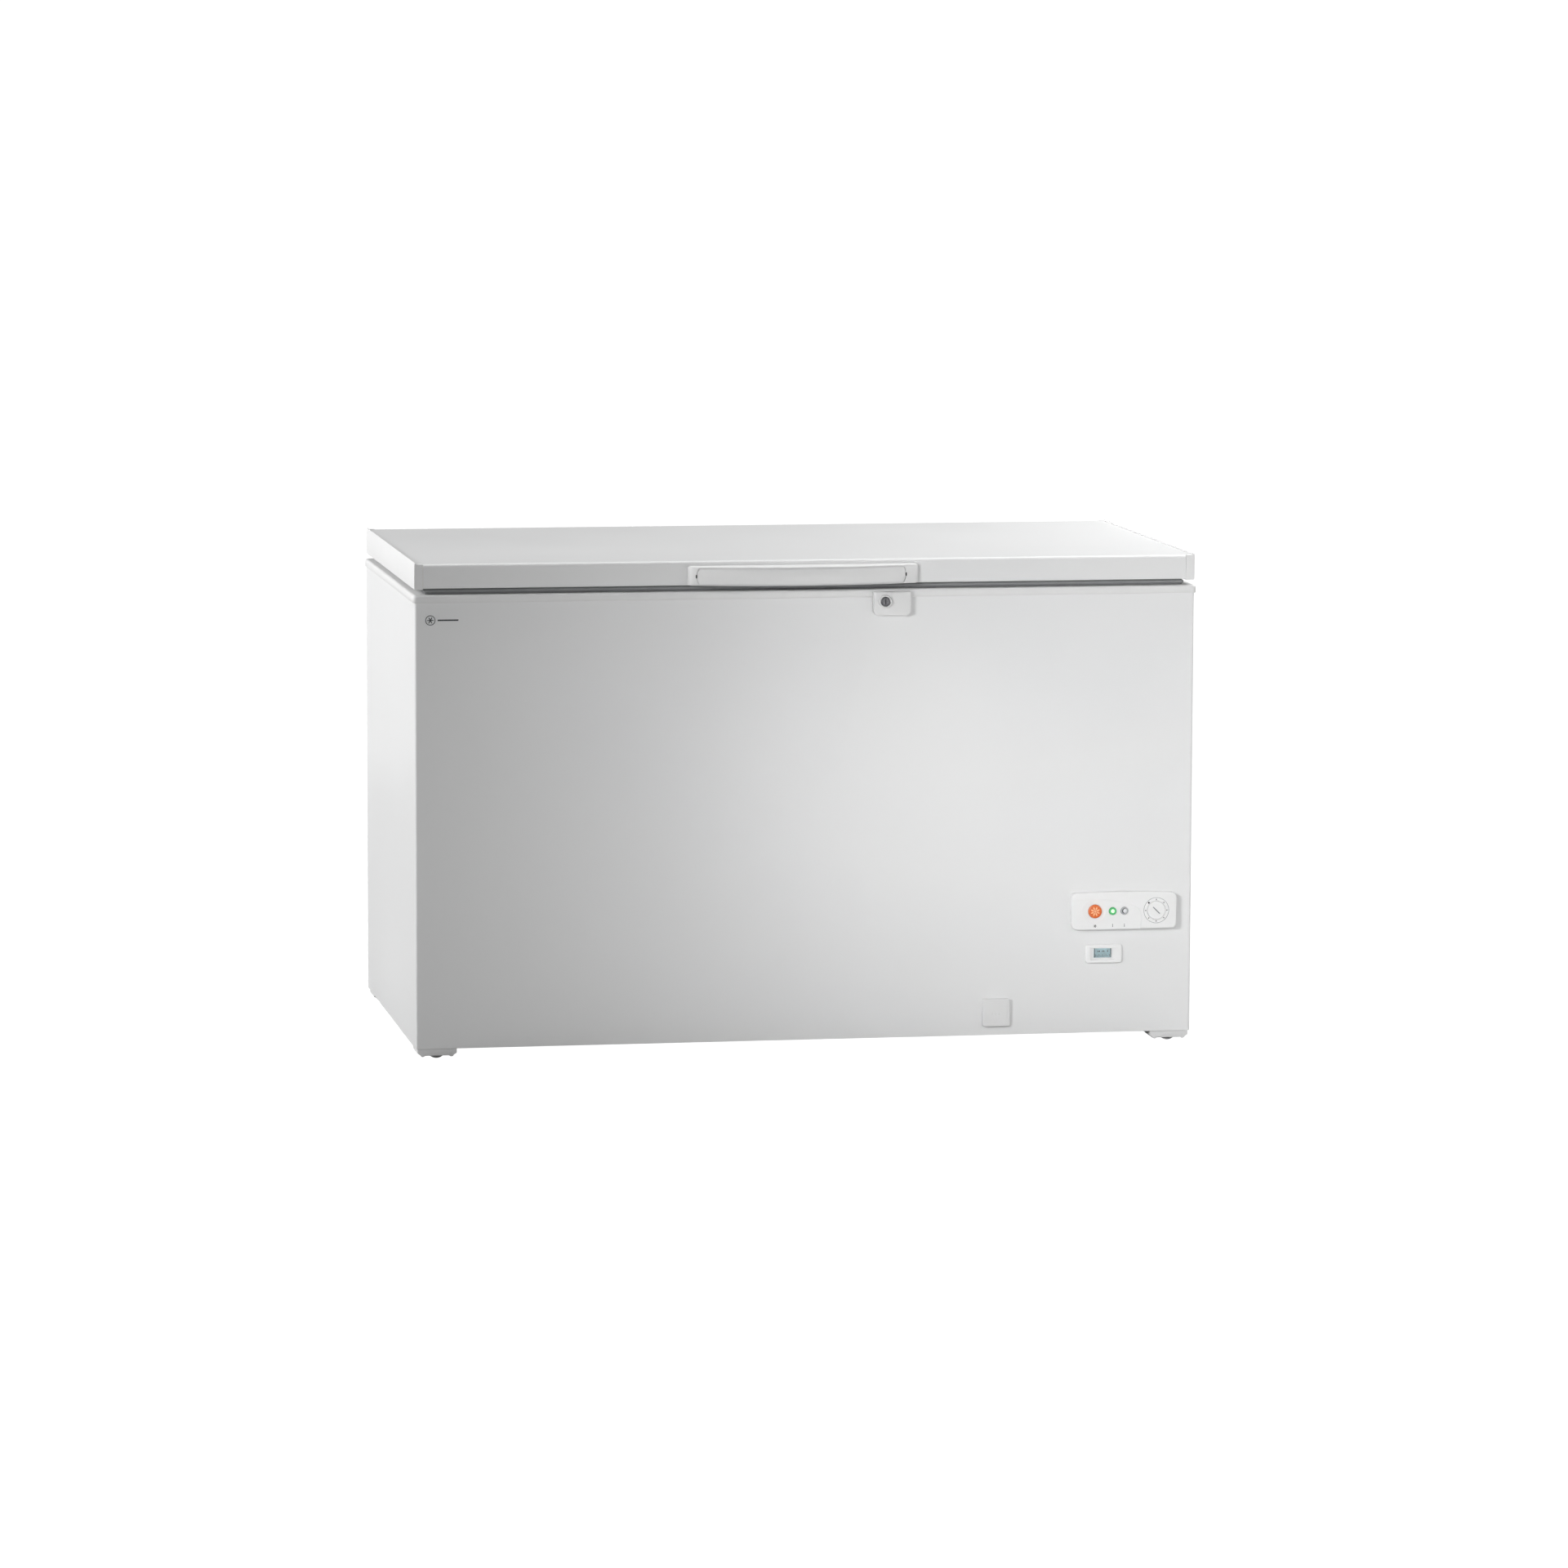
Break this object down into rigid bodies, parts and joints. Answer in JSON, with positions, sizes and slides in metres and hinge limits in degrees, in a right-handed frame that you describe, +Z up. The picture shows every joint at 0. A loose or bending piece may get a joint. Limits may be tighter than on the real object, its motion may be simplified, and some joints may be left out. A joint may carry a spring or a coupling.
{
  "type": "chest freezer",
  "caption": "Wide white chest freezer on castors, with a hinged insulated lid, bowed handle, lock, control panel and hanging basket",
  "frame": {"origin": "on the floor under the middle of the whole object's box", "axes": "+X to the right seen from the front, +Y from the front with the handle to the hinges at the back, +Z up"},
  "size_m": [1.306, 0.734, 0.816],
  "materials": {
    "paint": "satin",
    "plastic": "satin",
    "bracket": "satin",
    "zinc": "satin",
    "liner": "satin",
    "foam": "matte",
    "copper": "satin",
    "steel": "satin",
    "lock_metal": "satin",
    "compressor_shell": "satin",
    "black_plastic": "matte",
    "roller_plastic": "matte",
    "gasket": "matte",
    "button_orange": "gloss",
    "lamp_green": "gloss",
    "lamp_clear": "gloss",
    "display": "gloss",
    "window": "gloss"
  },
  "bodies": {
    "cabinet": {"outer_shell": "paint", "back_panel": "paint", "top_frame": "plastic", "side_grille": "plastic", "control_bezel": "plastic", "thermometer_bezel": "plastic", "lock_housing": "plastic", "drain_pipe": "plastic", "castor_housing_front_left": "plastic", "castor_housing_front_right": "plastic", "castor_housing_rear_left": "plastic", "castor_housing_rear_right": "plastic", "hinge_bracket_left": "bracket", "hinge_bracket_right": "bracket", "base_panel": "zinc", "machine_tray": "zinc", "machine_bulkhead": "zinc", "rear_grille": "zinc", "inner_liner": "liner", "wall_foam": "foam", "evaporator_coil": "copper", "condenser_coil": "copper", "suction_tube": "copper", "discharge_tube": "copper", "filter_drier": "copper", "hinge_pin_left": "steel", "hinge_pin_right": "steel", "hinge_spring_left": "steel", "hinge_spring_right": "steel", "thermostat_body": "steel", "compressor": "compressor_shell", "start_relay": "black_plastic", "switch_body": "black_plastic", "cable_gland": "black_plastic", "green_lamp": "lamp_green", "alarm_lamp": "lamp_clear", "thermometer_display": "display", "thermometer_window": "window"},
    "lid": {"lid_skin": "paint", "lid_end_left": "plastic", "lid_end_right": "plastic", "lid_foam": "foam", "lid_inner_panel": "plastic", "lid_gasket": "gasket", "handle_body": "plastic", "handle_insert": "plastic", "hinge_leaf_left": "bracket", "hinge_leaf_right": "bracket"},
    "lock_key": {"key_cylinder": "lock_metal", "lock_cam": "steel"},
    "lock_bolt_body": {"lock_bolt": "steel"},
    "dial": {"thermostat_dial": "plastic"},
    "freeze_button": {"fast_freeze_button": "button_orange"},
    "drain_cap": {"drain_cover": "plastic"},
    "drain_stopper": {"drain_plug": "plastic"},
    "hanging_basket": {"basket": "steel"},
    "roller_front_left": {"castor_roller_front_left": "roller_plastic"},
    "roller_front_right": {"castor_roller_front_right": "roller_plastic"},
    "roller_rear_left": {"castor_roller_rear_left": "roller_plastic"},
    "roller_rear_right": {"castor_roller_rear_right": "roller_plastic"}
  },
  "joints": [
    {"name": "lid_hinge", "type": "hinge", "parent": "cabinet", "child": "lid", "pos_m": [0, 0.359, 0.7685], "axis": [-1, 0, 0], "range_deg": [0, 85]},
    {"name": "key_turn", "type": "hinge", "parent": "cabinet", "child": "lock_key", "pos_m": [0.126, -0.341, 0.744], "axis": [0, -1, 0], "range_deg": [0, 90]},
    {"name": "bolt_lift", "type": "slide", "parent": "cabinet", "child": "lock_bolt_body", "axis": [0, 0, 1], "range_m": [0, 0.021]},
    {"name": "dial_turn", "type": "hinge", "parent": "cabinet", "child": "dial", "pos_m": [0.588, -0.341, 0.222], "axis": [0, 1, 0], "range_deg": [0, 315]},
    {"name": "button_press", "type": "slide", "parent": "cabinet", "child": "freeze_button", "axis": [0, 1, 0], "range_m": [0, 0.003], "stiffness_N_per_m": 600, "springref_m": -0.002},
    {"name": "drain_cover_pull", "type": "slide", "parent": "cabinet", "child": "drain_cap", "axis": [0, -1, 0], "range_m": [0, 0.025]},
    {"name": "drain_plug_pull", "type": "slide", "parent": "cabinet", "child": "drain_stopper", "axis": [0, 0, 1], "range_m": [0, 0.08]},
    {"name": "basket_slide", "type": "slide", "parent": "cabinet", "child": "hanging_basket", "axis": [-1, 0, 0], "range_m": [0, 0.85]},
    {"name": "roll_front_left", "type": "hinge", "parent": "cabinet", "child": "roller_front_left", "pos_m": [-0.6145, -0.297, 0.016], "axis": [0, 1, 0], "continuous": true},
    {"name": "roll_front_right", "type": "hinge", "parent": "cabinet", "child": "roller_front_right", "pos_m": [0.6145, -0.297, 0.016], "axis": [0, 1, 0], "continuous": true},
    {"name": "roll_rear_left", "type": "hinge", "parent": "cabinet", "child": "roller_rear_left", "pos_m": [-0.6145, 0.315, 0.016], "axis": [0, 1, 0], "continuous": true},
    {"name": "roll_rear_right", "type": "hinge", "parent": "cabinet", "child": "roller_rear_right", "pos_m": [0.6145, 0.315, 0.016], "axis": [0, 1, 0], "continuous": true}
  ],
  "couplings": [
    {"joint": "bolt_lift", "follows": "key_turn", "m_per_rad": 0.013368}
  ]
}
